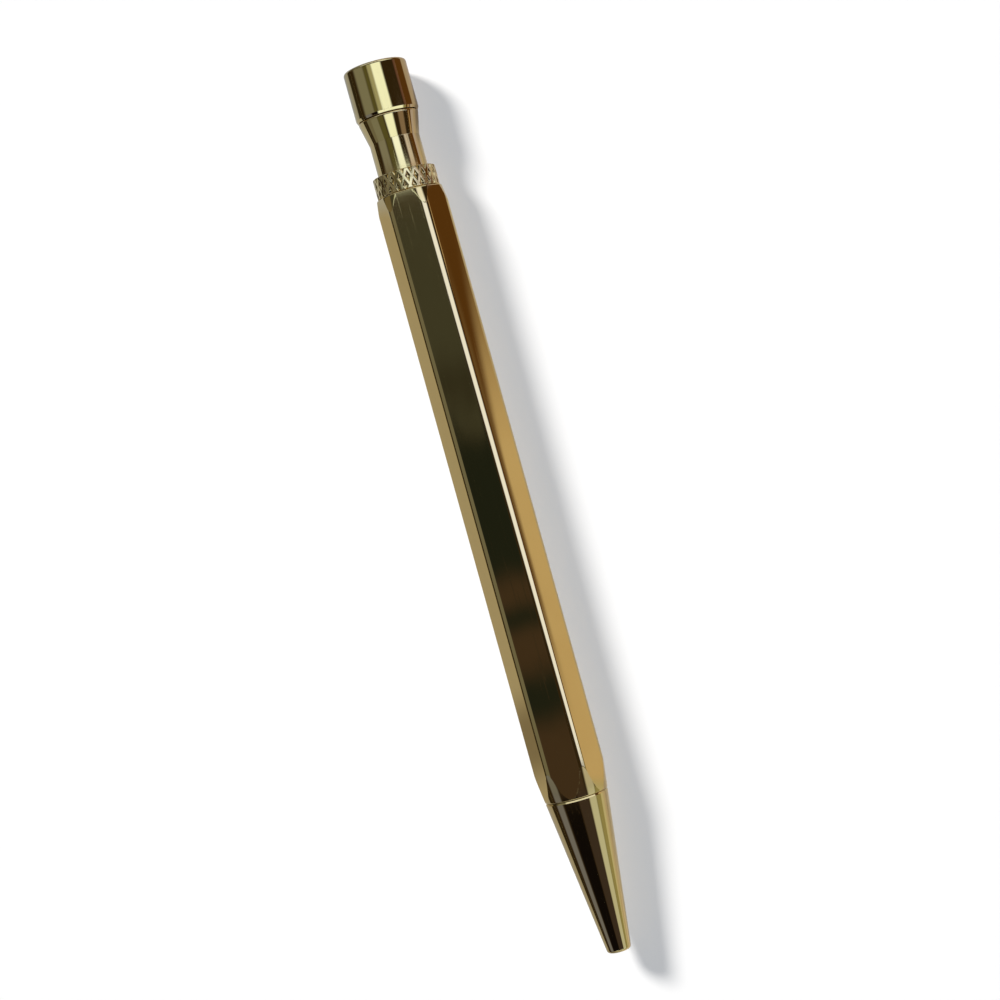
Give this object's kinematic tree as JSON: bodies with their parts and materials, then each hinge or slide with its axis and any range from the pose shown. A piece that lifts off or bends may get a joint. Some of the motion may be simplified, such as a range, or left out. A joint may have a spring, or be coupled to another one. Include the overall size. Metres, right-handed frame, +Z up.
{
  "type": "retractable ballpoint pen",
  "caption": "Slim metal ballpoint pen with a hexagonal gold-tone barrel, knurled collar, waisted push button and plain cone nose; pressing the button puts out the tip.",
  "frame": {"origin": "middle of the pen's length and width, on the surface that the pen lies on with one flat of its barrel down", "axes": "+X along the pen towards the writing end, +Z up from the flat that it lies on, +Y across towards a rounded edge of the barrel"},
  "size_m": [0.136, 0.0108, 0.0096],
  "materials": {
    "gold_barrel": "polished gold tone",
    "gold_knurl": "knurled gold tone",
    "gold_polished": "polished gold tone",
    "brass_insert": "turned brass",
    "black_rubber": "matt rubber",
    "white_plastic": "moulded",
    "grey_plastic": "moulded",
    "black_plastic": "moulded",
    "spring_steel": "drawn wire",
    "tube_steel": "drawn tube",
    "tip_steel": "turned",
    "ball_metal": "ground and polished",
    "blue_ink": "paste ink",
    "clear_grease": "grease"
  },
  "bodies": {
    "barrel": {"barrel": "gold_barrel", "knurled_collar": "gold_knurl", "guide_bush": "white_plastic", "cam_sleeve": "black_plastic", "seat_ring": "brass_insert", "front_thread_bush": "brass_insert"},
    "button": {"button_head": "gold_polished", "button_stem": "gold_polished", "thrust_cam": "white_plastic"},
    "refill": {"refill_tube": "tube_steel", "refill_crown": "black_plastic", "refill_neck": "brass_insert", "refill_tip": "tip_steel", "refill_ink": "blue_ink", "refill_grease": "clear_grease"},
    "rotor": {"rotor_cam": "grey_plastic"},
    "ball": {"refill_ball": "ball_metal"},
    "nose_carriage": {"nose_seal_ring": "black_rubber", "return_spring": "spring_steel"},
    "nose": {"nose_cone": "gold_polished"}
  },
  "joints": [
    {"name": "button_press", "type": "slide", "parent": "barrel", "child": "button", "axis": [1, 0, 0], "range_m": [0, 0.0045], "stiffness_N_per_m": 250, "springref_m": -0.004, "deforming": ["return_spring"]},
    {"name": "refill_slide", "type": "slide", "parent": "barrel", "child": "refill", "axis": [1, 0, 0], "range_m": [0, 0.0045]},
    {"name": "rotor_turn", "type": "hinge", "parent": "refill", "child": "rotor", "pos_m": [-0.035, 0, 0.0048], "axis": [1, 0, 0], "range_deg": [0, 22.5]},
    {"name": "ball_roll", "type": "hinge", "parent": "refill", "child": "ball", "pos_m": [0.0665, 0, 0.0048], "axis": [0, 1, 0], "continuous": true},
    {"name": "nose_travel", "type": "slide", "parent": "barrel", "child": "nose_carriage", "axis": [1, 0, 0], "range_m": [0, 0.006]},
    {"name": "nose_turn", "type": "hinge", "parent": "nose_carriage", "child": "nose", "pos_m": [0.0441, 0, 0.0048], "axis": [1, 0, 0], "range_deg": [0, 2880]}
  ],
  "couplings": [
    {"joint": "refill_slide", "follows": "button_press", "ratio": 1},
    {"joint": "rotor_turn", "follows": "button_press", "rad_per_m": 87.266},
    {"joint": "nose_turn", "follows": "nose_travel", "rad_per_m": 8377.6}
  ]
}
